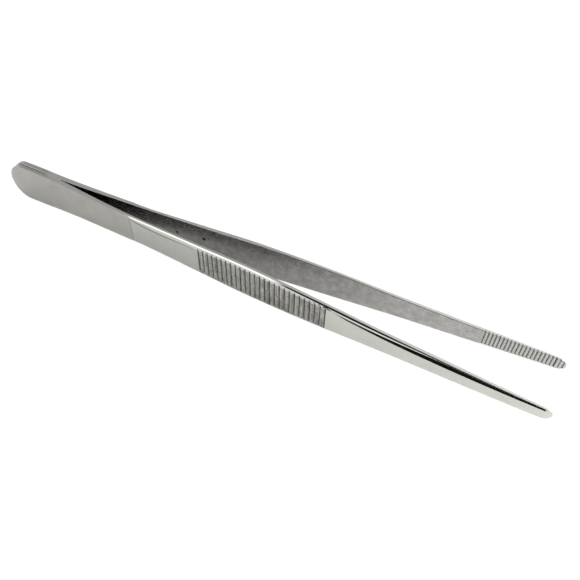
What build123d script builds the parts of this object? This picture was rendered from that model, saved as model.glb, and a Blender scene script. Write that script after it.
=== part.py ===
"""Print tongs: long stainless steel tweezers for lifting prints out of a tray.

Two mirror-image sprung arms lie side by side on their lower edges. They touch face to face at a
rounded heel, where a weld along each edge joins them, and stand apart from there to the tips.
A squeeze at the ribbed grip bends both thin necks and brings the serrated jaws together.

Each arm is cut at its neck, where it bends, into a fixed heel leaf and a limb that turns.
Millimetres. X runs along the tongs, heel at -X and tips at +X. Y runs across the opening, left
arm at +Y. Z is up, and the tongs lie on Z = 0. The origin is under the middle of the tongs.
"""

import os

from build123d import *

# Driving dimensions
LENGTH = 200.0  # heel end to jaw tips
MID_HEIGHT = 7.3  # half the heel's width, so the height of the tongs' mid plane
LEAF_THICKNESS = 1.8  # one arm at the heel
HEEL_NOSE = 6.0  # length of the heel's rounded end
HEEL_FLAT_END = 13.0  # station where the heel starts to narrow
FACE_FLAT_END = 18.0  # station where the outer face starts to lean outward
CROTCH = 21.0  # station where the two arms part
TIP_NOSE = 3.0  # length of the tip's rounded end
TIP_HALF_WIDTH = 2.3
TIP_INNER = 9.1  # inner face of one arm at the tip, from the mid plane
TIP_OUTER = 9.9

# Stations from the heel end along the tongs, each with a distance from the mid plane.
INNER_FACE = [(27.0, 0.34), (50.0, 2.05), (90.0, 4.0), (130.0, 6.2), (165.0, 7.6)]
OUTER_FACE = [(34.0, 2.4), (50.0, 3.2), (90.0, 5.5), (130.0, 7.7), (165.0, 9.25), (188.0, 9.85)]
HALF_WIDTHS = [(20.0, 7.0), (34.0, 6.3), (56.0, 5.85), (80.0, 6.35), (100.0, 6.8), (125.0, 5.9),
               (150.0, 4.3), (175.0, 3.2)]

# Flexing neck
HINGE_STATION = 50.0
NECK_NOSE_RADIUS = 0.55  # the limb's rounded root, about half the neck's thickness
NECK_CLEARANCE = 0.03
NECK_SETBACK = 0.35  # how far the heel leaf stops short of the hinge axis

# Grip ribs and jaw teeth: round grooves across the arm, counted from the heel end
RIB_GROOVES = 27
RIB_START = 82.2
RIB_PITCH = 1.81
RIB_GROOVE_RADIUS = 0.32
TOOTH_GROOVES = 22
TOOTH_START = 175.3
TOOTH_PITCH = 1.13
TOOTH_GROOVE_RADIUS = 0.3

# Welds along the seam
WELD_START = 17.0
WELD_END = 22.5
WELD_WIDTH = 1.4
WELD_DEPTH = 1.2  # from the heel's widest height down to the root of the vee


def along(station):
    """X of a station measured from the heel end."""
    return station - LENGTH / 2


def place(points):
    """Profile points, moved from stations to X."""
    return [(along(station), distance) for station, distance in points]


def inner_face_line():
    """The arm's inner face from the crotch to the tip, seen from above."""
    points = [(CROTCH, 0), *INNER_FACE, (LENGTH, TIP_INNER)]
    return Edge.make_spline(place(points), tangents=[(1, 0.02), (1, 0.04)])


def outer_face_line():
    """The arm's outer face from the end of the flat heel to the tip, seen from above."""
    points = [(FACE_FLAT_END, LEAF_THICKNESS), *OUTER_FACE, (LENGTH, TIP_OUTER)]
    return Edge.make_spline(place(points), tangents=[(1, 0), (1, -0.01)])


def point_at(edge, x):
    """The point of a face line at a given X, found by halving."""
    low, high = 0.0, 1.0
    while high - low > 1e-6:
        middle = (low + high) / 2
        if edge.position_at(middle).X < x:
            low = middle
        else:
            high = middle
    return edge.position_at(low)


INNER_LINE = inner_face_line()
OUTER_LINE = outer_face_line()
HINGE_X = along(HINGE_STATION)
HINGE_Y = (point_at(INNER_LINE, HINGE_X).Y + point_at(OUTER_LINE, HINGE_X).Y) / 2


def arm_profile():
    """The whole arm seen from above, as one closed face."""
    with BuildSketch() as profile:
        with BuildLine():
            Line((along(0), 0), (along(CROTCH), 0))
            add(INNER_LINE)
            Line((along(LENGTH), TIP_INNER), (along(LENGTH), TIP_OUTER))
            add(OUTER_LINE)
            Line((along(FACE_FLAT_END), LEAF_THICKNESS), (along(0), LEAF_THICKNESS))
            Line((along(0), LEAF_THICKNESS), (along(0), 0))
        make_face()
    return profile.sketch


def width_outline():
    """The arm seen from the side: rounded heel, narrow neck, wide grip, tapered to the tip."""
    tip_x = along(LENGTH - TIP_NOSE)
    nose_x = along(HEEL_NOSE)
    with BuildSketch(Plane.XZ) as outline:
        with BuildLine():
            for side in (1, -1):
                points = [(HEEL_FLAT_END, MID_HEIGHT), *HALF_WIDTHS]
                edge = [(along(s), MID_HEIGHT + side * half) for s, half in points]
                edge.append((tip_x, MID_HEIGHT + side * TIP_HALF_WIDTH))
                Spline(*edge, tangents=[(1, 0), (1, side * -0.04)])
                Line((nose_x, MID_HEIGHT + side * MID_HEIGHT), edge[0])
            heel_centre = (nose_x, MID_HEIGHT)
            EllipticalCenterArc(heel_centre, HEEL_NOSE, MID_HEIGHT, start_angle=90, arc_size=180)
            tip_centre = (tip_x, MID_HEIGHT)
            EllipticalCenterArc(tip_centre, TIP_NOSE, TIP_HALF_WIDTH, start_angle=-90, arc_size=180)
        make_face()
    return outline.sketch


def rods_across(line, stations, radius):
    """Upright rods centred on a face line, which cut round grooves straight across the face."""
    with BuildPart() as rods:
        with Locations(*[point_at(line, along(station)) for station in stations]):
            Cylinder(radius, 2 * MID_HEIGHT, align=(Align.CENTER, Align.CENTER, Align.MIN))
    return rods.part


def grip_grooves():
    """Cutters for the grooves between the ribs on the outer face."""
    stations = [RIB_START + RIB_PITCH * i for i in range(RIB_GROOVES)]
    return rods_across(OUTER_LINE, stations, RIB_GROOVE_RADIUS)


def jaw_grooves(shift):
    """Cutters for the grooves between the teeth on the inner face."""
    stations = [TOOTH_START + shift + TOOTH_PITCH * i for i in range(TOOTH_GROOVES)]
    return rods_across(INNER_LINE, stations, TOOTH_GROOVE_RADIUS)


def heel_leaf():
    """The fixed, flat part of the left arm, with a shallow socket where the limb turns."""
    with BuildPart() as leaf:
        with BuildSketch():
            add(arm_profile())
            with Locations((HINGE_X - NECK_SETBACK, 0)):
                Rectangle(LENGTH, LENGTH, align=(Align.MIN, Align.CENTER), mode=Mode.SUBTRACT)
            with Locations((HINGE_X, HINGE_Y)):
                Circle(NECK_NOSE_RADIUS + NECK_CLEARANCE, mode=Mode.SUBTRACT)
        extrude(amount=2 * MID_HEIGHT)
        with BuildSketch(Plane.XZ):
            add(width_outline())
        extrude(amount=LENGTH, both=True, mode=Mode.INTERSECT)
        add(weld(0, WELD_DEPTH), mode=Mode.SUBTRACT)
        add(weld(2 * MID_HEIGHT, 2 * MID_HEIGHT - WELD_DEPTH), mode=Mode.SUBTRACT)
    return leaf.part


def weld(edge_z, root_z):
    """A vee of weld metal along the seam, ground flush with the edges of the two leaves."""
    half = WELD_WIDTH / 2
    with BuildPart() as wedge:
        with BuildSketch(Plane.YZ.offset(along(WELD_START))):
            with BuildLine():
                Polyline((-half, edge_z), (half, edge_z), (0, root_z), close=True)
            make_face()
        extrude(amount=WELD_END - WELD_START)
        with BuildSketch(Plane.XZ):
            add(width_outline())
        extrude(amount=LENGTH, both=True, mode=Mode.INTERSECT)
    return wedge.part


def limb(tooth_shift):
    """The left arm from its neck to its tip, with a ribbed grip and a toothed jaw."""
    with BuildPart() as arm:
        with BuildSketch():
            add(arm_profile())
            with Locations((HINGE_X, 0)):
                Rectangle(LENGTH, LENGTH, align=(Align.MAX, Align.CENTER), mode=Mode.SUBTRACT)
            with Locations((HINGE_X, HINGE_Y)):
                Circle(NECK_NOSE_RADIUS)
        extrude(amount=2 * MID_HEIGHT)
        with BuildSketch(Plane.XZ):
            add(width_outline())
        extrude(amount=LENGTH, both=True, mode=Mode.INTERSECT)
        add(grip_grooves(), mode=Mode.SUBTRACT)
        add(jaw_grooves(tooth_shift), mode=Mode.SUBTRACT)
    return arm.part


with BuildPart() as left_heel:
    add(heel_leaf())
left_heel.part.label = "left_heel"

with BuildPart() as right_heel:
    mirror(left_heel.part, about=Plane.XZ)
right_heel.part.label = "right_heel"

with BuildPart() as upper_weld:
    add(weld(2 * MID_HEIGHT, 2 * MID_HEIGHT - WELD_DEPTH))
upper_weld.part.label = "upper_weld"

with BuildPart() as lower_weld:
    add(weld(0, WELD_DEPTH))
lower_weld.part.label = "lower_weld"

with BuildPart() as left_limb:
    add(limb(tooth_shift=0))
left_limb.part.label = "left_limb"

with BuildPart() as right_limb:
    mirror(limb(tooth_shift=-TOOTH_PITCH / 2), about=Plane.XZ)
right_limb.part.label = "right_limb"

os.makedirs("parts", exist_ok=True)
for piece in (left_heel, right_heel, upper_weld, lower_weld, left_limb, right_limb):
    export_step(piece.part, f"parts/{piece.part.label}.step")
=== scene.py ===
# %% [markdown]
# # Print tongs in Blender
#
# Print tongs are two long strips of stainless steel, welded together at a rounded heel. Their
# shape is simple, so nearly all of what the eye reads comes from small things: how flat the
# faces are, how wide the bevels are, how each surface was finished, and what it reflects.
#
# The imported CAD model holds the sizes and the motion. This notebook loads it, models each arm as
# one unbroken strip over it, gives every surface its own finish, and lights it.

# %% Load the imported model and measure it
import math

import bmesh
import bpy
from mathutils import Matrix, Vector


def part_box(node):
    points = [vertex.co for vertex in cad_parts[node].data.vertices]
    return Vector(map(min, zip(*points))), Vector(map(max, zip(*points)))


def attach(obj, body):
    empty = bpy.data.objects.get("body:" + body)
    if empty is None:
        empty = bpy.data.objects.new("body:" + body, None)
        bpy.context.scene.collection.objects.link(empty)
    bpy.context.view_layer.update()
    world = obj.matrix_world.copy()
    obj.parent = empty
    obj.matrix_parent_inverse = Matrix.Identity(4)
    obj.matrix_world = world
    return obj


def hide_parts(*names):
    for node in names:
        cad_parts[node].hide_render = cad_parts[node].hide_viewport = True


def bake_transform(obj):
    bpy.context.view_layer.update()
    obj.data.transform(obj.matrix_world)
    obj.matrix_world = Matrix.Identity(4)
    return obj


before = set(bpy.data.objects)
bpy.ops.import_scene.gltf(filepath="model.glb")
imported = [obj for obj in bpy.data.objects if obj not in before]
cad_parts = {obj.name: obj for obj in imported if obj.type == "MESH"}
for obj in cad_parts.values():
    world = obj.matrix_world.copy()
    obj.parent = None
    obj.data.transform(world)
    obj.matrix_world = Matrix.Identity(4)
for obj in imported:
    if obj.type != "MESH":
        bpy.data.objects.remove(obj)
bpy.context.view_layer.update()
MM = 0.001  # lengths below are in millimetres times MM, because Blender works in metres
HEEL_LOW, HEEL_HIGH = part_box("left_heel")
HEEL_X = HEEL_LOW.x
MID_Z = (HEEL_LOW.z + HEEL_HIGH.z) / 2
HEEL_HALF = (HEEL_HIGH.z - HEEL_LOW.z) / 2 / MM
TOTAL = (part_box("left_limb")[1].x - HEEL_X) / MM
print("length", round(TOTAL, 2), "mm, mid plane at", round(MID_Z / MM, 2), "mm")

# %% [markdown]
# ## The camera
#
# The camera comes first, so that every test render is taken from the same place. It stands close
# to the tongs and looks down at about fifty degrees, from a little to the right. That is how they
# look in the hand of somebody who is about to use them. From so near, the heel looks smaller than
# the grip, and a camera farther away could not show that.

# %% Place the camera
CAMERA_TURN, CAMERA_HEIGHT, CAMERA_ROLL = (math.radians(a) for a in (25.27, 49.85, 1.93))
CAMERA_PLACE = (72.95 * MM, -125.74 * MM, 169.04 * MM)
SENSOR_WIDTH, FOCAL_LENGTH = 36, 41.03
turn = Matrix.Rotation(CAMERA_TURN, 3, "Z") @ Matrix.Rotation(math.pi / 2 - CAMERA_HEIGHT, 3, "X")
turn = turn @ Matrix.Rotation(CAMERA_ROLL, 3, "Z")
bpy.ops.object.camera_add(location=CAMERA_PLACE, rotation=turn.to_euler())
camera = bpy.context.object
camera.name = "camera"
camera.data.sensor_width = SENSOR_WIDTH
camera.data.lens = FOCAL_LENGTH
camera.data.clip_start = MM
bpy.context.scene.camera = camera
print("camera", [round(value, 4) for value in camera.location])

# %% [markdown]
# ## The lines of an arm
#
# A strip like this is drawn by its maker as a few lines along its length: how far the inner face
# stands from the middle, how thick the strip is, and half its width. Each line is a short list of
# places where the maker would check it with a gauge, and a smooth curve joins them. Stations are
# counted from the heel's end, in millimetres.
#
# A spline object could hold these lines. A small function is easier to read and gives the value at
# any station, which the next steps need hundreds of times.

# %% A smooth curve through a few gauge points
def gauge(points, station):
    """The value at a station, on a smooth curve through (station, value) points."""
    if station <= points[0][0]:
        return points[0][1]
    if station >= points[-1][0]:
        return points[-1][1]
    slopes = []
    for i in range(len(points)):
        before, after = points[max(i - 1, 0)], points[min(i + 1, len(points) - 1)]
        slopes.append((after[1] - before[1]) / (after[0] - before[0]))
    i = max(k for k in range(len(points) - 1) if points[k][0] <= station)
    (x0, y0), (x1, y1) = points[i], points[i + 1]
    span = x1 - x0
    t = (station - x0) / span
    ease = t * t * (3 - 2 * t)
    swing = t * (1 - t) * ((1 - t) * slopes[i] - t * slopes[i + 1]) * span
    return y0 + (y1 - y0) * ease + swing


# %% The gauge points of the strip
INNER_FACE = [(0, 0.01), (19, 0.01), (21, 0.02), (27, 0.34), (50, 2.05), (90, 4.0), (130, 6.2),
              (165, 7.6), (200, 9.1)]
THICKNESS = [(0, 1.79), (16, 1.79), (24, 1.77), (32, 1.57), (40, 1.33), (50, 1.14), (58, 1.12),
             (70, 1.23), (90, 1.49), (130, 1.49), (150, 1.62), (160, 1.65), (170, 1.59),
             (180, 1.44), (190, 1.19), (200, 0.79)]
HALF_WIDTH = [(13, 7.3), (20, 7.0), (34, 6.3), (56, 5.85), (80, 6.35), (100, 6.8), (125, 5.9),
              (150, 4.3), (175, 3.2), (197, 2.3)]
print("neck", round(gauge(THICKNESS, 58), 2), "thick, grip", 2 * gauge(HALF_WIDTH, 100), "wide")

# %% [markdown]
# The heel and the tip are rounded, and a rounded end is an ellipse rather than a gauge line: its
# width falls to nothing within a few millimetres. The tip is also rounded in its thickness, like
# a bullet cut in half.

# %% Rounded ends
HEEL_NOSE = 6.0
TIP_NOSE = 3.0
TIP_BLUNTNESS = 1.08  # above 1, a little thickness is left at the very end


def half_width(station):
    """Half the arm's width at a station, with both ends rounded."""
    if station < HEEL_NOSE:
        return HEEL_HALF * math.sqrt(max(1 - (1 - station / HEEL_NOSE) ** 2, 0))
    if station > TOTAL - TIP_NOSE:
        past = (station - TOTAL + TIP_NOSE) / TIP_NOSE
        return HALF_WIDTH[-1][1] * math.sqrt(max(1 - past ** 2, 0))
    return gauge(HALF_WIDTH, station)


def thickness(station):
    """The arm's thickness at a station, rounded off over the last few millimetres."""
    past = max(station - TOTAL + TIP_NOSE, 0) / (TIP_BLUNTNESS * TIP_NOSE)
    return gauge(THICKNESS, station) * math.sqrt(1 - past ** 2)


print("ends", [round(half_width(s), 2) for s in (1, HEEL_NOSE, TOTAL - TIP_NOSE, TOTAL - 1)])

# %% [markdown]
# ## Ribs and teeth
#
# On the real tongs a cutter runs straight across the outer face for the grip and across the inner
# face for the jaw. The ribs of the grip are wide and rounded with narrow valleys. The teeth of the
# jaw are as wide as the grooves between them.
#
# Cutting them with Boolean cutters is possible, but on polished metal the long thin faces that a
# Boolean leaves catch the light badly. Here the arm gets extra cross sections in each rib and
# tooth, and those sections are pushed in, so every face stays a clean strip.

# %% Where the ribs and teeth are, and how deep at each station
RIB_GROOVES, RIB_START, RIB_PITCH, RIB_DEPTH = 27, 82.2, 1.81, 0.3
TOOTH_GROOVES, TOOTH_START, TOOTH_PITCH, TOOTH_DEPTH = 22, 175.3, 1.13, 0.3
RIB_END = RIB_START + RIB_PITCH * (RIB_GROOVES - 1)
JAW_START = TOOTH_START - TOOTH_PITCH
RIB_ROUNDNESS = 4  # a higher power gives flatter ribs and narrower valleys
RIB_SECTIONS = (-0.82, -0.5, 0, 0.5, 0.82)  # sections between two valleys, as shares of half a rib
VALLEY_MOUTH = 0.3  # the first and the last valley fade out over this length
TOOTH_SECTIONS = ((0.44, 0.0), (0.3, 0.1), (0.0, TOOTH_DEPTH))  # reach from a groove, and depth


def rib_depth(station):
    """How deep the outer face lies at a station, by the round ribs of the grip."""
    if RIB_START <= station <= RIB_END:
        turns = (station - RIB_START) / RIB_PITCH
        across = 2 * abs(turns - math.floor(turns) - 0.5)
        return RIB_DEPTH * across ** RIB_ROUNDNESS
    gap = max(RIB_START - station, station - RIB_END)
    return RIB_DEPTH * max(1 - gap / VALLEY_MOUTH, 0)


def rib_stations():
    """Stations that draw every rib of the grip."""
    found = [RIB_START - VALLEY_MOUTH, RIB_END, RIB_END + VALLEY_MOUTH]
    for i in range(RIB_GROOVES - 1):
        middle = RIB_START + RIB_PITCH * (i + 0.5)
        found += [middle - RIB_PITCH / 2] + [middle + RIB_PITCH / 2 * s for s in RIB_SECTIONS]
    return found


def tooth_stations(shift):
    """Stations that draw every tooth of the jaw, with the depth at each."""
    found = {}
    for i in range(TOOTH_GROOVES):
        groove = TOOTH_START + shift + TOOTH_PITCH * i
        for reach, depth in TOOTH_SECTIONS:
            found[groove - reach] = depth
            found[groove + reach] = depth
    return found


print("grip", RIB_START, "to", round(RIB_END, 1), "with", len(rib_stations()), "sections")

# %% [markdown]
# ## The bevel
#
# A bevel runs along the outer edge from the shoulder to the tip. The eye reads polished facets by
# what they reflect: a steep one shows what stands in front of the tongs, and a flatter one shows
# the floor beside them. The real bevel shows dark and light lines side by side with crisp borders,
# so it has three flat strips: a steep one beside the edge, a middle one and a nearly flat last one.
#
# A Bevel modifier would give every strip the same width and the same turn. Here the strips are
# gauge lines too. Two lines give the depth and the width of the whole bevel. Three more share them
# out: the part of the depth that the steep strip takes, the part of the width that the middle strip
# takes, and the part of the depth still left that it takes.

# %% The gauge points of the bevel
BEVEL_DEPTH = [(0, 0.05), (51, 0.05), (55, 0.25), (60, 0.34), (70, 0.38), (90, 0.45), (118, 0.52),
               (132, 0.64), (145, 0.7), (165, 0.66), (171, 0.6), (190, 0.34), (200, 0.16)]
BEVEL_WIDTH = [(0, 0.06), (51.6, 0.06), (54, 0.9), (59, 1.8), (67, 2.2), (82, 1.8), (100, 1.5),
               (118, 1.6), (137, 1.65), (150, 1.85), (165, 1.75), (171, 1.6), (190, 0.95),
               (200, 0.6)]
STEEP_SHARE = [(0, 0.75), (80, 0.75), (100, 0.67), (137, 0.7), (160, 0.42), (200, 0.4)]
MIDDLE_WIDTH = [(0, 0.5), (100, 0.45), (137, 0.33), (150, 0.24), (159, 0.15), (167, 0.03),
                (200, 0.02)]
MIDDLE_SHARE = [(0, 0.65), (118, 0.7), (128, 0.79), (134, 0.76), (142, 0.66), (150, 0.42),
                (159, 0.25), (167, 0.05), (200, 0.03)]
STEEP_SLOPE = math.tan(math.radians(47))
STEEP_LIMIT = 0.5  # the steep strip takes at most this part of the width


def halfway(first, second):
    """The point between two points."""
    return ((first[0] + second[0]) / 2, (first[1] + second[1]) / 2)


def bevel_curve(depth, width, station):
    """Points on the bevel's three strips: how deep below the face, how far from the edge."""
    left = depth * (1 - gauge(STEEP_SHARE, station))
    steep_end = (left, min((depth - left) / STEEP_SLOPE, STEEP_LIMIT * width))
    left *= 1 - gauge(MIDDLE_SHARE, station)
    middle_end = (left, steep_end[1] + gauge(MIDDLE_WIDTH, station) * width)
    face = (0.0, width)
    return [(depth, 0.0), steep_end, halfway(steep_end, middle_end), middle_end,
            halfway(middle_end, face), face]


DEEPEST = 145  # the station where the front's bevel is at its deepest
print("bevel", [(round(down, 2), round(across, 2)) for down, across in
                bevel_curve(gauge(BEVEL_DEPTH, DEEPEST), gauge(BEVEL_WIDTH, DEEPEST), DEEPEST)])

# %% [markdown]
# ## The shoulder
#
# The polish and the bevel start at a straight line across the outer face, the shoulder. The panel
# beyond it was polished down by a hair, which leaves a fine nick across the strip and a crease
# beside the bevel, as far as the grip; both are darkened with painted shade. A Boolean cut this
# fine would tear the smooth shading. The nick is one section pushed in between two close
# neighbours, and the crease is one row pushed in.

# %% Where the nick and the crease are
SHOULDER = 53.9
NICK, NICK_DEPTH = 0.22, 0.04  # half its width, and its depth
CREASE_DEPTH = 0.05
CREASE_END = RIB_START - 2
HAIR = 0.01  # stations closer than this count as one
print("shoulder at", SHOULDER, "and crease to", round(CREASE_END, 1))

# %% [markdown]
# ## One cross section
#
# Half of a section is ten corners, from the inner face round the edge to the outer face. The other
# half mirrors it, so each pair of corners is called a row. The ground edge band lies between "lip"
# and "band". The bevel's steep strip ends at "roll", the middle one at "slope" and the last one at
# "face", with "bevel" and "brow" halfway along the last two. "Flat" and "floor" are support rows
# close to the edges, which keep the broad faces flat when they are shaded smooth.
#
# The inner edges are only just broken, except at the heel. There they are eased more widely, so
# that the seam between the leaves shows as a hairline, darkened with painted shade. The ribs stop
# short of the edge, so the rows beside the edge keep their place where the face is pushed in.

# %% The ten rows of a section
ROWS = ("floor", "inner", "lip", "band", "roll", "bevel", "slope", "brow", "face", "flat")
UNCUT_ROWS = ("band", "roll", "bevel")
EDGE_EASE = [(0, 0.27), (15, 0.27), (19, 0.05), (50, 0.06), (110, 0.13), (200, 0.1)]
SUPPORT = 0.25  # how far the support rows stand from the edge
BEVEL_LIMIT = 0.5  # the bevel takes at most this part of the thickness and of half the width
EASE_LIMIT = 0.2  # and the inner edge and the support rows at most this part


def section(station, tooth=0.0):
    """Distance from the inner face, and half height, of each row at a station."""
    half, thick = half_width(station), thickness(station)
    depth = min(gauge(BEVEL_DEPTH, station), BEVEL_LIMIT * thick)
    width = min(gauge(BEVEL_WIDTH, station), BEVEL_LIMIT * half)
    curve = bevel_curve(depth, width, station)
    ease = min(gauge(EDGE_EASE, station), EASE_LIMIT * half, EASE_LIMIT * thick)
    support = min(SUPPORT, EASE_LIMIT * half)
    nick = NICK_DEPTH if abs(station - SHOULDER) < HAIR else 0
    cut = thick - rib_depth(station) - nick
    rows = {"floor": (tooth, half - ease - support), "inner": (tooth, half - ease),
            "lip": (tooth + ease, half)}
    for row, (down, across) in zip(ROWS[3:9], curve):
        out = thick - down
        rows[row] = (out if row in UNCUT_ROWS else min(out, cut), half - across)
    rows["flat"] = (cut, half - width - support)
    if SHOULDER < station < CREASE_END:
        rows["face"] = (cut - CREASE_DEPTH, rows["face"][1])
    return rows


print("section at the grip", {k: (round(a, 2), round(b, 2)) for k, (a, b) in section(100).items()})

# %% [markdown]
# ## Drawing an arm out, section by section
#
# A smith draws a strip out along its length. The same is done here: a small ring at the heel's end
# is extruded to the next station, and each of its rows is scaled to its new place, on and on to
# the tip. The scaling is done about the point where the inner face meets the mid plane, so a
# single resize sets both a row's distance and its height.

# %% Start with a ring
RING_DISTANCE = 2 * MM  # from the middle of the tongs


def deselect_all():
    """Nothing stays selected, so that the next operator acts only on what it adds."""
    if bpy.context.object and bpy.context.object.mode != "OBJECT":
        bpy.ops.object.mode_set(mode="OBJECT")
    bpy.ops.object.select_all(action="DESELECT")


def add_ring(name, side):
    """A closed ring of twice as many corners as there are rows, standing at the heel's end."""
    deselect_all()
    count = 2 * len(ROWS)
    bpy.ops.mesh.primitive_circle_add(vertices=count, radius=MM, fill_type="NGON",
                                      location=(HEEL_X, side * RING_DISTANCE, MID_Z),
                                      rotation=(0, math.radians(90), 0))
    arm = bpy.context.object
    arm.name = name
    bpy.ops.object.transform_apply(location=True, rotation=True, scale=True)
    bpy.ops.object.mode_set(mode="EDIT")
    bpy.ops.mesh.select_mode(type="VERT")
    bpy.ops.transform.rotate(value=math.pi / count, orient_axis="X",
                             center_override=(HEEL_X, side * RING_DISTANCE, MID_Z))
    mesh = bmesh.from_edit_mesh(arm.data)
    layer = mesh.verts.layers.int.new("row")
    outward = sorted(mesh.verts, key=lambda v: (round(side * v.co.y, 7), v.co.z))
    rows = {}
    for i, vert in enumerate(outward):
        vert[layer] = i // 2
        rows[ROWS[i // 2]] = (side * vert.co.y / MM, abs(vert.co.z - MID_Z) / MM)
    return arm, rows


# %% Move the rows of a ring. The inner face can be at distance 0, so its rows slide instead.
def place_rows(arm, side, station, inner, before, after):
    """Moves each row of the selected ring from its old distance and height to the new ones."""
    mesh = bmesh.from_edit_mesh(arm.data)
    layer = mesh.verts.layers.int["row"]
    ring = [vert for vert in mesh.verts if vert.select]
    centre = (HEEL_X + station * MM, side * inner * MM, MID_Z)
    for index, row in enumerate(ROWS):
        for vert in ring:
            vert.select_set(vert[layer] == index)
        mesh.select_flush_mode()
        (out, high), (new_out, new_high) = before[row], after[row]
        if row in ("floor", "inner"):
            bpy.ops.transform.resize(value=(1, 1, new_high / high), center_override=centre)
            if new_out != out:
                bpy.ops.transform.translate(value=(0, side * (new_out - out) * MM, 0))
        else:
            bpy.ops.transform.resize(value=(1, new_out / out, new_high / high),
                                     center_override=centre)
    for vert in ring:
        vert.select_set(True)
    mesh.select_flush_mode()


# %% [markdown]
# The stations are close together where the shape turns quickly: round the heel, at the shoulder,
# in each rib and tooth, and round the tip.

# %% Every station of an arm
REAR_STEP, SHOULDER_STEP, FRONT_STEP = 2, 0.6, 2.2
CLOSEST = 0.02  # a station nearer than this to the last one is left out


def arm_stations(teeth):
    """All stations from heel to tip in order."""
    heel = [HEEL_NOSE * (1 - math.cos(math.radians(a))) for a in range(6, 91, 6)]
    tip = [TOTAL - TIP_NOSE * (1 - math.sin(math.radians(a))) for a in range(0, 86, 8)]
    shoulder = [SHOULDER + SHOULDER_STEP * i for i in range(-4, 8)]
    shoulder += [SHOULDER - NICK, SHOULDER + NICK]
    plain = [8 + REAR_STEP * i for i in range(37)]
    plain += [RIB_END + 2 + FRONT_STEP * i for i in range(20)]
    plain = [s for s in plain if not SHOULDER - 3 < s < SHOULDER + 5]
    ordered = sorted({*heel, *tip, *shoulder, *plain, *rib_stations(), *teeth})
    ordered = [s for s in ordered if 0 < s < TOTAL]
    return [s for i, s in enumerate(ordered) if i == 0 or s - ordered[i - 1] > CLOSEST]


print("stations of the left arm", len(arm_stations(tooth_stations(0.0))))


# %% Draw both arms. The right arm's teeth are half a pitch further back, so that they mesh.
def draw_arm(name, side, tooth_shift):
    """One whole arm as a closed mesh. Side is 1 for the left arm and -1 for the right one."""
    teeth = tooth_stations(tooth_shift)
    arm, rows = add_ring(name, side)
    station, inner = 0.0, gauge(INNER_FACE, 0)
    after = section(HAIR)
    place_rows(arm, side, station, inner, rows, after)
    for next_station in arm_stations(teeth):
        next_inner = gauge(INNER_FACE, next_station)
        step = ((next_station - station) * MM, side * (next_inner - inner) * MM, 0)
        bpy.ops.mesh.extrude_region_move(TRANSFORM_OT_translate={"value": step})
        station, inner, rows = next_station, next_inner, after
        after = section(station, teeth.get(station, 0.0))
        place_rows(arm, side, station, inner, rows, after)
    bpy.ops.mesh.select_all(action="SELECT")
    bpy.ops.mesh.normals_make_consistent(inside=False)
    bpy.ops.object.mode_set(mode="OBJECT")
    print(name, len(arm.data.vertices), "vertices", len(arm.data.polygons), "faces")
    return arm


MESH_SHIFT = -TOOTH_PITCH / 2
left_arm = draw_arm("left_arm_strip", 1, 0.0)
right_arm = draw_arm("right_arm_strip", -1, MESH_SHIFT)

# %% [markdown]
# ## Weld metal in the heel
#
# The two leaves of the heel are welded in the seam between their edges, and ground flush. Behind
# the weld the seam is open and shows as a hairline, darkened with painted shade. Each weld is a
# short bar that fills the groove, crowned by a hair so that it doesn't lie in the same plane as the
# edge bands. A bar is a cube scaled to size, its two ends are moved to follow the edge, and its
# long edges are rounded.

# %% Model one weld, then the other
WELD_START, WELD_END = 17.0, 22.6
WELD_WIDTH, WELD_DEPTH, WELD_CROWN = 0.5, 0.6, 0.012
WELD_ROUNDING = 0.1 * MM
NEAR_END = 0.1 * MM  # a corner this close to an end belongs to it
SMOOTH_BELOW = math.radians(40)  # faces that turn by less are shaded as one


def add_weld(name, side, node):
    """A bar of weld metal in the upper (side 1) or the lower (side -1) edge of the seam."""
    deselect_all()
    middle = (WELD_START + WELD_END) / 2
    height = side * (half_width(middle) - WELD_DEPTH / 2 + WELD_CROWN)
    place = (HEEL_X + middle * MM, 0, MID_Z + height * MM)
    bpy.ops.mesh.primitive_cube_add(size=1, location=place)
    size = (WELD_END - WELD_START, WELD_WIDTH, WELD_DEPTH)
    bpy.ops.transform.resize(value=[length * MM for length in size])
    weld = bpy.context.object
    weld.name = name
    bpy.ops.object.transform_apply(location=True, rotation=True, scale=True)
    bpy.ops.object.mode_set(mode="EDIT")
    mesh = bmesh.from_edit_mesh(weld.data)
    for end in (WELD_START, WELD_END):
        for vert in mesh.verts:
            vert.select_set(abs(vert.co.x - HEEL_X - end * MM) < NEAR_END)
        mesh.select_flush_mode()
        lift = side * (half_width(end) - half_width(middle)) * MM
        bpy.ops.transform.translate(value=(0, 0, lift))
    bpy.ops.object.mode_set(mode="OBJECT")
    bpy.ops.object.modifier_add(type="BEVEL")
    weld.modifiers[-1].width = WELD_ROUNDING
    weld.modifiers[-1].segments = 3
    bpy.ops.object.modifier_apply(modifier=weld.modifiers[-1].name)
    bpy.ops.object.shade_smooth_by_angle(angle=SMOOTH_BELOW)
    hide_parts(node)
    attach(weld, "heel")
    return weld


welds = [add_weld("upper_weld_bead", 1, "upper_weld"),
         add_weld("lower_weld_bead", -1, "lower_weld")]
print("welds", [[round(d / MM, 2) for d in weld.dimensions] for weld in welds])

# %% [markdown]
# ## Crisp and soft edges
#
# On polished steel the shading normals matter as much as the shape. The rows where two finishes
# meet are marked sharp, and so are the two edges between the bevel's strips. Everything else is
# smoothed only where the surface turns by less than forty degrees, so ribs look round and teeth
# look cut.

# %% Mark the sharp rows and shade the arms
SHARP_ROWS = [ROWS.index(row) for row in ("inner", "lip", "band", "roll", "slope", "face")]
LEVEL = 1e-7  # two corners closer than this along the arm stand at the same station


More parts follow.
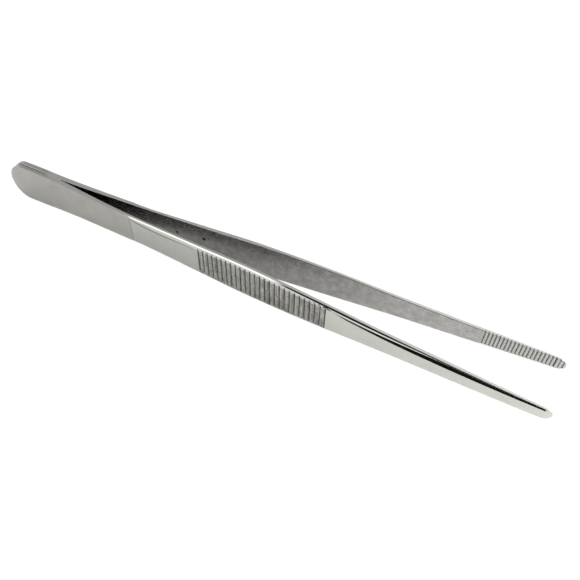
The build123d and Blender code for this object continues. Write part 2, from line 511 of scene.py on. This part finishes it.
def shade_arm(arm):
    """Marks the long edges of the sharp rows and smooths the rest by angle."""
    deselect_all()
    bpy.context.view_layer.objects.active = arm
    arm.select_set(True)
    bpy.ops.object.mode_set(mode="EDIT")
    bpy.ops.mesh.select_mode(type="EDGE")
    bpy.ops.mesh.select_all(action="DESELECT")
    mesh = bmesh.from_edit_mesh(arm.data)
    layer = mesh.verts.layers.int["row"]
    for edge in mesh.edges:
        first, second = edge.verts
        along = first[layer] == second[layer] and abs(first.co.x - second.co.x) > LEVEL
        edge.select_set(along and first[layer] in SHARP_ROWS)
    bpy.ops.mesh.mark_sharp()
    bpy.ops.object.mode_set(mode="OBJECT")
    bpy.ops.object.shade_smooth_by_angle(angle=SMOOTH_BELOW, keep_sharp_edges=True)


for arm in (left_arm, right_arm):
    shade_arm(arm)
print("shaded", left_arm.name, right_arm.name)

# %% [markdown]
# ## Shared finishes
#
# Every finish here is the same stainless steel, worked in a different way. The effects are shared,
# so each is a node group with its own inputs: cloudiness, which is the soft uneven tone of hand
# finishing; drawn grain, the fine lines that a belt leaves; painted shade in the hollows, where
# little light gets in; and pits, the few dark specks that polishing doesn't reach. Separate nodes
# in each material would do the same, but one change would then have to be made nine times.

# %% A short way to write nodes
def new_group(name, inputs, outputs):
    """An empty node group with float inputs (name: value) and named float outputs."""
    tree = bpy.data.node_groups.new(name, "ShaderNodeTree")
    for label, value in inputs.items():
        socket = tree.interface.new_socket(label, in_out="INPUT", socket_type="NodeSocketFloat")
        socket.default_value = value
    for label in outputs:
        tree.interface.new_socket(label, in_out="OUTPUT", socket_type="NodeSocketFloat")
    return tree, tree.nodes.new("NodeGroupInput"), tree.nodes.new("NodeGroupOutput")


def add_node(tree, kind, inputs=None, **settings):
    """A node with its settings and inputs. An input given as a socket is linked."""
    made = tree.nodes.new(kind)
    for name, value in settings.items():
        setattr(made, name, value)
    for key, value in (inputs or {}).items():
        if isinstance(value, bpy.types.NodeSocket):
            tree.links.new(value, made.inputs[key])
        else:
            made.inputs[key].default_value = value
    return made


def calc(tree, operation, first, second=0.5, third=0.5):
    """The result of one Math node."""
    node = add_node(tree, "ShaderNodeMath", {0: first, 1: second, 2: third}, operation=operation)
    return node.outputs[0]


# %% Cloudiness: soft uneven tone, in patches a few millimetres wide
PER_METRE = 1000.0  # object coordinates are in metres, and the inputs below in millimetres
BROAD_PART, FINE_PART, FINE_TIMES = 0.65, 0.35, 6.0
TONE_SWING = 4.0


def make_cloud_group():
    """Noise at two sizes. Puts out a tone around 1 and an uneven height."""
    tree, given, out = new_group("cloudy_finish", {"Patch Size": 5.0, "Contrast": 0.1},
                                 ("Tone", "Height"))
    place = add_node(tree, "ShaderNodeTexCoord").outputs["Object"]
    scale = calc(tree, "DIVIDE", PER_METRE, given.outputs["Patch Size"])
    broad = add_node(tree, "ShaderNodeTexNoise", {"Vector": place, "Scale": scale, "Detail": 3.0})
    fine_scale = calc(tree, "MULTIPLY", scale, FINE_TIMES)
    fine = add_node(tree, "ShaderNodeTexNoise", {"Vector": place, "Scale": fine_scale,
                                                 "Detail": 4.0})
    both = calc(tree, "ADD", calc(tree, "MULTIPLY", broad.outputs[0], BROAD_PART),
                calc(tree, "MULTIPLY", fine.outputs[0], FINE_PART))
    swing = calc(tree, "MULTIPLY", calc(tree, "SUBTRACT", both, 0.5), given.outputs["Contrast"])
    tone = calc(tree, "MULTIPLY_ADD", swing, TONE_SWING, 1.0)
    tree.links.new(tone, out.inputs["Tone"])
    tree.links.new(both, out.inputs["Height"])
    return tree


# %% Drawn grain: fine lines along the strip, or across it
def make_grain_group():
    """Noise stretched along the strip (Crosswise 0) or across it (1). Puts out a height."""
    tree, given, out = new_group("drawn_grain", {"Line Width": 0.12, "Line Length": 6.0,
                                                 "Crosswise": 0.0}, ("Height",))
    place = add_node(tree, "ShaderNodeTexCoord").outputs["Object"]
    across = calc(tree, "DIVIDE", PER_METRE, given.outputs["Line Width"])
    along = calc(tree, "DIVIDE", PER_METRE, given.outputs["Line Length"])
    change = calc(tree, "MULTIPLY", calc(tree, "SUBTRACT", across, along),
                  given.outputs["Crosswise"])
    x_scale, z_scale = calc(tree, "ADD", along, change), calc(tree, "SUBTRACT", across, change)
    stretch = add_node(tree, "ShaderNodeCombineXYZ", {"X": x_scale, "Y": across, "Z": z_scale})
    spread = add_node(tree, "ShaderNodeVectorMath", {0: place, 1: stretch.outputs[0]},
                      operation="MULTIPLY")
    lines = add_node(tree, "ShaderNodeTexNoise", {"Vector": spread.outputs[0], "Scale": 1.0,
                                                  "Detail": 2.0})
    tree.links.new(lines.outputs[0], out.inputs["Height"])
    return tree


# %% Hollows: painted shade in grooves, creases and gaps, where little light gets in
def make_hollow_shade_group():
    """Reads how hollow the surface is. Puts out painted shade: 1 on open steel, lower in a groove.
    """
    tree, given, out = new_group("painted_hollow_shade", {"Darkness": 0.7, "Sharpness": 1.0}, ("Tone",))
    hollow = add_node(tree, "ShaderNodeAttribute", attribute_name="hollow").outputs["Fac"]
    shape = calc(tree, "POWER", hollow, given.outputs["Sharpness"])
    tone = calc(tree, "SUBTRACT", 1.0, calc(tree, "MULTIPLY", shape, given.outputs["Darkness"]))
    tree.links.new(tone, out.inputs["Tone"])
    return tree


# %% Pits: a few small dark specks
PIT_EDGE = 2.0  # how quickly a pit darkens from its rim inwards


def make_pit_group():
    """Sparse round specks. Puts out a mask, 1 in a pit."""
    tree, given, out = new_group("polishing_pits", {"Spacing": 9.0, "Radius": 0.3, "Share": 0.2},
                                 ("Pit",))
    place = add_node(tree, "ShaderNodeTexCoord").outputs["Object"]
    scale = calc(tree, "DIVIDE", PER_METRE, given.outputs["Spacing"])
    cells = add_node(tree, "ShaderNodeTexVoronoi", {"Vector": place, "Scale": scale})
    reach = calc(tree, "DIVIDE", given.outputs["Radius"], given.outputs["Spacing"])
    inside = calc(tree, "SUBTRACT", 1.0, calc(tree, "DIVIDE", cells.outputs["Distance"], reach))
    inside = calc(tree, "MULTIPLY", calc(tree, "MAXIMUM", inside, 0.0), PIT_EDGE)
    shade = add_node(tree, "ShaderNodeSeparateColor", {"Color": cells.outputs["Color"]})
    chosen = calc(tree, "LESS_THAN", shade.outputs[0], given.outputs["Share"])
    pit = calc(tree, "MULTIPLY", calc(tree, "MINIMUM", inside, 1.0), chosen)
    tree.links.new(pit, out.inputs["Pit"])
    return tree


# %% A single pit at a chosen place
MARK_RAGGED, MARK_EDGE = 0.3, 5.0


def make_mark_group():
    """One round mark at a place given in millimetres. Puts out a mask, 1 in the mark."""
    tree, given, out = new_group("single_mark", {"X": 0.0, "Y": 0.0, "Z": 0.0, "Radius": 0.4},
                                 ("Pit",))
    place = add_node(tree, "ShaderNodeTexCoord").outputs["Object"]
    grown = add_node(tree, "ShaderNodeVectorMath", {0: place, 1: (PER_METRE,) * 3},
                     operation="MULTIPLY").outputs[0]
    rough = add_node(tree, "ShaderNodeTexNoise", {"Vector": grown, "Scale": 2.0})
    centre = add_node(tree, "ShaderNodeCombineXYZ", {a: given.outputs[a] for a in "XYZ"})
    distance = add_node(tree, "ShaderNodeVectorMath", {0: grown, 1: centre.outputs[0]},
                        operation="DISTANCE").outputs["Value"]
    uneven = calc(tree, "MULTIPLY", rough.outputs[0], MARK_RAGGED)
    ragged = calc(tree, "ADD", distance, uneven)
    inside = calc(tree, "SUBTRACT", given.outputs["Radius"], ragged)
    mask = add_node(tree, "ShaderNodeMath", {0: inside, 1: MARK_EDGE}, operation="MULTIPLY",
                    use_clamp=True)
    tree.links.new(mask.outputs[0], out.inputs["Pit"])
    return tree


MARK, CLOUD, GRAIN, PIT, HOLLOW_SHADE = (make_mark_group(), make_cloud_group(), make_grain_group(),
                                   make_pit_group(), make_hollow_shade_group())
print("shared effects", [group.name for group in (CLOUD, GRAIN, HOLLOW_SHADE, PIT, MARK)])

# %% [markdown]
# ## The finishes of the steel
#
# One function mixes a finish from the shared effects. Its numbers are the ones a finisher would
# talk about: how bright the steel is, how rough, how cloudy, how deep the grain, how many pits.
# Metal has no colour apart from its reflections, so the finish lies mostly in the roughness.

# %% One function for every finish of the steel
PIT_COLOUR = (0.03, 0.028, 0.025)
SMOOTHEST = 0.04
GRAIN_HEIGHT = 0.02 * MM


def effect(tree, group, inputs):
    """The outputs of a shared effect, placed with its own values."""
    return add_node(tree, "ShaderNodeGroup", inputs, node_tree=group).outputs


def steel(name, colour, rough, cloud, grain, pits=0.0, rough_swing=0.0, dark=(0.7, 1.0),
          streaks=0.1, marks=()):
    """One finish of the steel.

    Cloud is (patch size, contrast), grain is (line width, depth, crosswise), dark is the
    (darkness, sharpness) of the painted shade in the hollows, and marks are (place, radius) pairs.
    """
    material = bpy.data.materials.new(name)
    material.use_nodes = True
    tree = material.node_tree
    shader = tree.nodes["Principled BSDF"]
    shader.inputs["Metallic"].default_value = 1.0
    clouds = effect(tree, CLOUD, {"Patch Size": cloud[0], "Contrast": cloud[1]})
    lines = effect(tree, GRAIN, {"Line Width": grain[0], "Crosswise": grain[2]})
    pit = effect(tree, PIT, {"Share": pits})["Pit"]
    # painted shade: the hollows' tone darkens the colour in grooves, creases, the seam and the gap
    hollows = effect(tree, HOLLOW_SHADE, {"Darkness": dark[0], "Sharpness": dark[1]})
    shade = calc(tree, "MULTIPLY", clouds["Tone"], hollows["Tone"])
    streak = calc(tree, "MULTIPLY_ADD", lines["Height"], 2 * streaks, 1 - streaks)
    shade = calc(tree, "MULTIPLY", shade, streak)
    tone = add_node(tree, "ShaderNodeVectorMath", {0: colour, 1: shade}, operation="MULTIPLY")
    for place, radius in marks:
        mark = effect(tree, MARK, dict(zip(("X", "Y", "Z", "Radius"), (*place, radius))))
        pit = calc(tree, "MAXIMUM", pit, mark["Pit"])
    pitted = add_node(tree, "ShaderNodeMix", {"Factor": pit, "A": tone.outputs[0],
                                              "B": PIT_COLOUR}, data_type="VECTOR")
    tree.links.new(pitted.outputs["Result"], shader.inputs["Base Color"])
    uneven = calc(tree, "SUBTRACT", clouds["Height"], 0.5)
    roughness = calc(tree, "MULTIPLY_ADD", uneven, rough_swing, rough)
    tree.links.new(calc(tree, "MAXIMUM", roughness, SMOOTHEST), shader.inputs["Roughness"])
    height = calc(tree, "SUBTRACT", lines["Height"], pit)
    bump = add_node(tree, "ShaderNodeBump", {"Height": height, "Strength": grain[1],
                                             "Distance": GRAIN_HEIGHT})
    tree.links.new(bump.outputs[0], shader.inputs["Normal"])
    return material


# %% [markdown]
# The inner face has two small dark pits and a fainter third. They are placed one by one, because
# their places are part of how these tongs look, and the shared effect strews its pits at random.
# The smaller pits around them are that effect's.

# %% The marks on the inner face
INNER_MARKS = ((68.5, -0.2, 0.8), (79.1, 1.0, 0.95), (75.5, 3.3, 0.55))  # station, height, radius


def inner_place(station, height):
    """A place on the left arm's inner face, in millimetres."""
    return (HEEL_X / MM + station, gauge(INNER_FACE, station), MID_Z / MM + height)


PLACED_MARKS = [(inner_place(station, height), radius) for station, height, radius in INNER_MARKS]
print("marks", [[round(value, 1) for value in place] for place, radius in PLACED_MARKS])

# %% The nine finishes
EDGE_STEEL = (0.60, 0.588, 0.568)
FRONT_STEEL = (0.63, 0.635, 0.585)
RECIPES = {
    "satin_steel": dict(colour=(0.425, 0.418, 0.39), rough=0.34, cloud=(4.0, 0.10),
                        grain=(0.15, 0.25, 0.0)),
    "inner_steel": dict(colour=(0.5, 0.49, 0.475), rough=0.27, cloud=(2.2, 0.3),
                        grain=(0.15, 0.35, 0.0), pits=0.1, rough_swing=0.1, marks=PLACED_MARKS),
    "ground_steel": dict(colour=EDGE_STEEL, rough=0.26, cloud=(3.0, 0.08),
                         grain=(0.10, 0.5, 0.0), dark=(0.97, 0.45)),
    "panel_steel": dict(colour=(0.475, 0.478, 0.44), rough=0.16, cloud=(3.0, 0.08),
                        grain=(0.2, 0.1, 0.0), rough_swing=0.1, dark=(0.95, 0.8), streaks=0.15),
    "rib_steel": dict(colour=(0.37, 0.365, 0.34), rough=0.16, cloud=(1.0, 0.5),
                      grain=(0.35, 1.0, 1.0), rough_swing=0.3, dark=(0.85, 0.8), streaks=1.2),
    "bevel_steel": dict(colour=FRONT_STEEL, rough=0.05, cloud=(6.0, 0.04),
                        grain=(0.3, 0.02, 0.0), rough_swing=0.04, dark=(0.97, 0.75)),
    "polished_steel": dict(colour=FRONT_STEEL, rough=0.1, cloud=(6.0, 0.05),
                           grain=(0.3, 0.05, 0.0), rough_swing=0.1),
    "tooth_steel": dict(colour=(0.6, 0.6, 0.57), rough=0.15, cloud=(1.0, 0.1),
                        grain=(0.3, 0.05, 0.0), rough_swing=0.1, dark=(0.85, 1.2)),
    "weld_steel": dict(colour=EDGE_STEEL, rough=0.3, cloud=(1.5, 0.08), grain=(0.12, 0.4, 0.0)),
}
FINISHES = {name: steel(name, **recipe) for name, recipe in RECIPES.items()}
print("finishes", list(FINISHES))

# %% [markdown]
# ## Which finish goes where
#
# The broad faces are satin behind the shoulder and on the inside. The edges are ground lengthwise.
# The bevel, the panel, the grip, the front and the teeth are polished; the lower bevel takes the
# darker finish of the face beside it, as painted shade. Faces are picked by their rows, their side
# and their place along the arm, and the finish is assigned to the faces that are picked.
#
# Grooves, the open seam, the gap between the arms and the crease along the panel are marked with a
# value on their corners. The finishes read it and paint shade there, since little light gets in.

# %% How hollow the inner side is, for painted shade: the seam, then the narrow gap, then the teeth
SEAM_LIP, TOOTH_LIP = 0.08, 0.05  # the lips get only a little painted shade
GAP_SHADE = [(20, 0.2), (40, 0.5), (56, 0.62), (68, 0.5), (80, 0.34), (100, 0.2), (130, 0.12),
                   (150, 0)]  # painted shade in the narrow gap between the arms, where little light gets in
DIGITS = 3  # two stations that agree to this many digits are the same


def inner_hollow(on_lip, station, teeth):
    """How hollow the inner face or its lip is."""
    if station < WELD_START:
        return SEAM_LIP if on_lip else 1.0
    if station < JAW_START:
        return 0.0 if on_lip else gauge(GAP_SHADE, station)
    share = teeth.get(round(station, DIGITS), 0.0) / TOOTH_DEPTH
    return TOOTH_LIP * share if on_lip else share


print("inner hollows", [round(inner_hollow(False, s, {}), 2) for s in (10, 30, 60, 90, 180)])

# %% Mark the hollows of a whole arm, where the finishes paint shade
NICK_HOLLOW = 0.8
CREASE_FADE = 0.7  # the crease loses this much on its way to the grip
CREASE_BROW = 0.35  # and its side towards the edge is this much of it


def hollow_at(row, station, teeth, upper):
    """How hollow a corner is, for the painted shade: 0 on open steel, 1 in a groove."""
    if row in ("floor", "inner", "lip"):
        return inner_hollow(row == "lip", station, teeth)
    if abs(station - SHOULDER) < HAIR and row in ("face", "flat"):
        return NICK_HOLLOW
    if row in ("face", "brow") and upper and SHOULDER < station < CREASE_END:
        fade = 1.0 - CREASE_FADE * (station - SHOULDER) / (RIB_START - SHOULDER)
        return fade if row == "face" else CREASE_BROW * fade
    if row in ("brow", "face", "flat"):
        return rib_depth(station) / RIB_DEPTH
    return 0.0


def mark_hollows(arm, shift):
    """Writes how hollow each corner is into the attribute that the painted shade reads."""
    teeth = {round(s, DIGITS): depth for s, depth in tooth_stations(shift).items()}
    rows = arm.data.attributes["row"].data
    values = []
    for vert, row in zip(arm.data.vertices, rows):
        station = round((vert.co.x - HEEL_X) / MM, DIGITS)
        values.append(hollow_at(ROWS[row.value], station, teeth, vert.co.z > MID_Z))
    attribute = arm.data.attributes.new("hollow", "FLOAT", "POINT")
    attribute.data.foreach_set("value", values)
    print(arm.name, "hollow corners", sum(value > 0.5 for value in values))


mark_hollows(left_arm, 0.0)
mark_hollows(right_arm, MESH_SHIFT)

# %% Choose the finish of each face
ARM_FINISHES = ("satin_steel", "inner_steel", "ground_steel", "panel_steel", "rib_steel",
                "bevel_steel", "polished_steel", "tooth_steel")
SATIN, INSIDE, GROUND, PANEL, RIBBED, BEVELLED, POLISHED, TOOTHED = range(len(ARM_FINISHES))


def finish_of(rows, station, upper):
    """The finish of a face, from the rows of its corners, its station and its side."""
    if rows <= {"floor", "inner"}:
        return TOOTHED if station > JAW_START else INSIDE
    if rows <= {"inner", "lip", "band"}:
        return GROUND
    if station < SHOULDER:
        return SATIN
    # painted shade: below the mid plane the bevel takes the darker finish of the face beside it
    if upper and not rows <= {"face", "flat"}:
        return BEVELLED
    if station < RIB_START - VALLEY_MOUTH:
        return PANEL
    return RIBBED if station < RIB_END + VALLEY_MOUTH else POLISHED


def paint_arm(arm):
    """Gives each face its finish."""
    deselect_all()
    bpy.context.view_layer.objects.active = arm
    arm.select_set(True)
    for name in ARM_FINISHES:
        arm.data.materials.append(FINISHES[name])
    bpy.ops.object.mode_set(mode="EDIT")
    bpy.ops.mesh.select_mode(type="FACE")
    mesh = bmesh.from_edit_mesh(arm.data)
    layer = mesh.verts.layers.int["row"]
    wanted = {}
    for face in mesh.faces:
        rows = {ROWS[vert[layer]] for vert in face.verts}
        middle = face.calc_center_median()
        wanted[face.index] = finish_of(rows, (middle.x - HEEL_X) / MM, middle.z > MID_Z)
    for finish in range(len(ARM_FINISHES)):
        bpy.ops.mesh.select_all(action="DESELECT")
        mesh = bmesh.from_edit_mesh(arm.data)
        for face in mesh.faces:
            face.select_set(wanted[face.index] == finish)
        arm.active_material_index = finish
        bpy.ops.object.material_slot_assign()
    bpy.ops.object.mode_set(mode="OBJECT")


for arm in (left_arm, right_arm):
    paint_arm(arm)
for weld in welds:
    weld.data.materials.append(FINISHES["weld_steel"])
print("painted", [len(arm.data.materials) for arm in (left_arm, right_arm)])

# %% [markdown]
# ## Floor and light
#
# Polished steel shows its surroundings more than itself, so the light is made of large plain
# shapes, as in a studio for cutlery. A sky made from a picture would bring in shapes of its own.
# The floor is a white sheet, and it shows evenly white, as a light table does.

# %% The floor
FLOOR_SIZE, FLOOR_GAP = 4, 0.01 * MM
WHITE_GLOW = 1.02


def add_floor():
    """A white sheet under the tongs. The camera sees it evenly lit, as on a light table."""
    deselect_all()
    bpy.ops.mesh.primitive_plane_add(size=FLOOR_SIZE, location=(0, 0, -FLOOR_GAP))
    floor = bpy.context.object
    floor.name = "floor"
    material = bpy.data.materials.new("white_sheet")
    material.use_nodes = True
    tree = material.node_tree
    paper = tree.nodes["Principled BSDF"]
    paper.inputs["Base Color"].default_value = (0.85, 0.85, 0.85, 1)
    paper.inputs["Roughness"].default_value = 0.9
    paper.inputs["Specular IOR Level"].default_value = 0.0
    glow = add_node(tree, "ShaderNodeEmission", {"Color": (1, 1, 1, 1), "Strength": WHITE_GLOW})
    seen = add_node(tree, "ShaderNodeLightPath").outputs["Is Camera Ray"]
    mix = add_node(tree, "ShaderNodeMixShader", {0: seen, 1: paper.outputs[0], 2: glow.outputs[0]})
    tree.links.new(mix.outputs[0], tree.nodes["Material Output"].inputs["Surface"])
    floor.data.materials.append(material)


add_floor()
bpy.context.scene.view_settings.view_transform = "Standard"
print("floor placed")

# %% [markdown]
# The sky is a soft white tent whose brightness depends only on the direction. It is brighter behind
# the tongs and to the right, where the lamps of a studio would stand. In front it has one window:
# dark on the right, where the viewer stands, and bright on the left. The steep strip of the bevel
# reflects the dark part as a black line along the front, and the bright part as a white line along
# the neck.

# %% A grey ramp for the tent
def ramp(tree, value, stops):
    """A colour ramp with grey stops (position, brightness)."""
    node = add_node(tree, "ShaderNodeValToRGB", {"Fac": value})
    elements = node.color_ramp.elements
    for i, (position, grey) in enumerate(stops):
        element = elements[i] if i < 2 else elements.new(position)
        element.position, element.color = position, (grey, grey, grey, 1)
    return node.outputs["Color"]


# %% The light tent
BACK_LIFT, BRIGHT_SIDE, DARKEST = 0.9, 1.5, 0.02


def add_tent():
    """A world whose brightness depends only on the direction."""
    world = bpy.data.worlds.new("light_tent")
    bpy.context.scene.world = world
    world.use_nodes = True
    tree = world.node_tree
    toward = add_node(tree, "ShaderNodeTexCoord").outputs["Generated"]
    x, y, z = add_node(tree, "ShaderNodeSeparateXYZ", {"Vector": toward}).outputs
    height = calc(tree, "MULTIPLY_ADD", z, 0.5, 0.5)
    across, depth = (calc(tree, "MULTIPLY_ADD", value, 0.5, 0.5) for value in (x, y))
    tent = ramp(tree, height, ((0.0, 0.6), (0.5, 0.8), (0.72, 0.7), (0.85, 0.42), (1.0, 0.55)))
    behind = ramp(tree, depth, ((0.55, 0.0), (0.7, 1.0)))
    rightward = ramp(tree, across, ((0.28, 0.0), (0.45, 0.65), (0.57, 2.0)))
    lift = calc(tree, "MULTIPLY", calc(tree, "MULTIPLY", behind, rightward), BACK_LIFT)
    tent = calc(tree, "MULTIPLY", tent, calc(tree, "ADD", lift, 1.0))
    front = ramp(tree, depth, ((0.2, 1.0), (0.35, 0.0)))
    window = ramp(tree, height, ((0.49, 0.0), (0.5, 1.0), (0.9, 1.0), (0.95, 0.0)))
    window = calc(tree, "MULTIPLY", window, front)
    right = ramp(tree, across, ((0.335, 0.0), (0.355, 1.0)))
    bright = calc(tree, "MULTIPLY", window, calc(tree, "SUBTRACT", 1.0, right))
    dark = calc(tree, "MULTIPLY", window, right)
    light = calc(tree, "MULTIPLY", tent, calc(tree, "SUBTRACT", 1.0, dark))
    light = calc(tree, "MULTIPLY_ADD", bright, BRIGHT_SIDE, light)
    light = calc(tree, "MAXIMUM", light, DARKEST)
    seen = add_node(tree, "ShaderNodeLightPath").outputs["Is Camera Ray"]
    background = tree.nodes["Background"]
    tree.links.new(calc(tree, "MAXIMUM", light, seen), background.inputs["Strength"])
    background.inputs["Color"].default_value = (1, 1, 1, 1)


add_tent()
print("tent", bpy.context.scene.world.name)

# %% [markdown]
# The flatter strips of the bevel look down at the floor in front of the tongs. Plain cards that lie
# there are the easiest way to give them something to reflect. Two black cards give the front its
# second black line, and a white card keeps the reflections of the heel and the neck even. Nothing
# but reflections shows them. Two soft lamps light the white sheet, and they are kept out of the
# reflections, because a lamp's square would show in the polished faces.

# %% The cards and the lamps
CARD_LIFT = 0.2 * MM
BLACK, WHITE = 0.01, 1.0


def add_softbox(name, place, size, power):
    """A square soft lamp that points at the tongs."""
    deselect_all()
    bpy.ops.object.light_add(type="AREA", location=place)
    lamp = bpy.context.object
    lamp.name = name
    lamp.data.size, lamp.data.energy = size, power
    lamp.rotation_euler = (-lamp.location).to_track_quat("-Z", "Y").to_euler()
    lamp.visible_glossy = False


def add_card(name, corner, size, brightness):
    """A card lying on the floor, from its back left corner. Sizes are in metres."""
    deselect_all()
    place = (corner[0] + size[0] / 2, corner[1] - size[1] / 2, CARD_LIFT)
    bpy.ops.mesh.primitive_plane_add(size=1, location=place)
    bpy.ops.transform.resize(value=(*size, 1))
    card = bpy.context.object
    card.name = name
    material = bpy.data.materials.new(name)
    material.use_nodes = True
    tree = material.node_tree
    glow = add_node(tree, "ShaderNodeEmission", {"Strength": brightness})
    tree.links.new(glow.outputs[0], tree.nodes["Material Output"].inputs["Surface"])
    card.data.materials.append(material)
    card.visible_camera = card.visible_diffuse = card.visible_shadow = False


add_card("black_card", (0.021, -0.0187), (0.019, 0.0121), BLACK)
add_card("long_black_card", (0.04, -0.0187), (0.062, 0.0163), BLACK)
add_card("white_card", (-0.35, -0.0195), (0.362, 0.11), WHITE)
add_softbox("right_light", (0.5, -0.1, 0.5), 0.4, 2.5)
add_softbox("left_light", (-0.75, -0.55, 0.35), 0.45, 5.0)

# %% [markdown]
# ## Standing in for the CAD pieces
#
# Each strip replaces the two CAD halves of its arm: the halves are hidden, and the strip's
# placement is baked into its mesh.

# %% Replace the CAD pieces
for strip, heel, limb, arm_body in ((left_arm, "left_heel", "left_limb", "left_arm"),
                                    (right_arm, "right_heel", "right_limb", "right_arm")):
    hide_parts(heel, limb)
    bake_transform(strip)
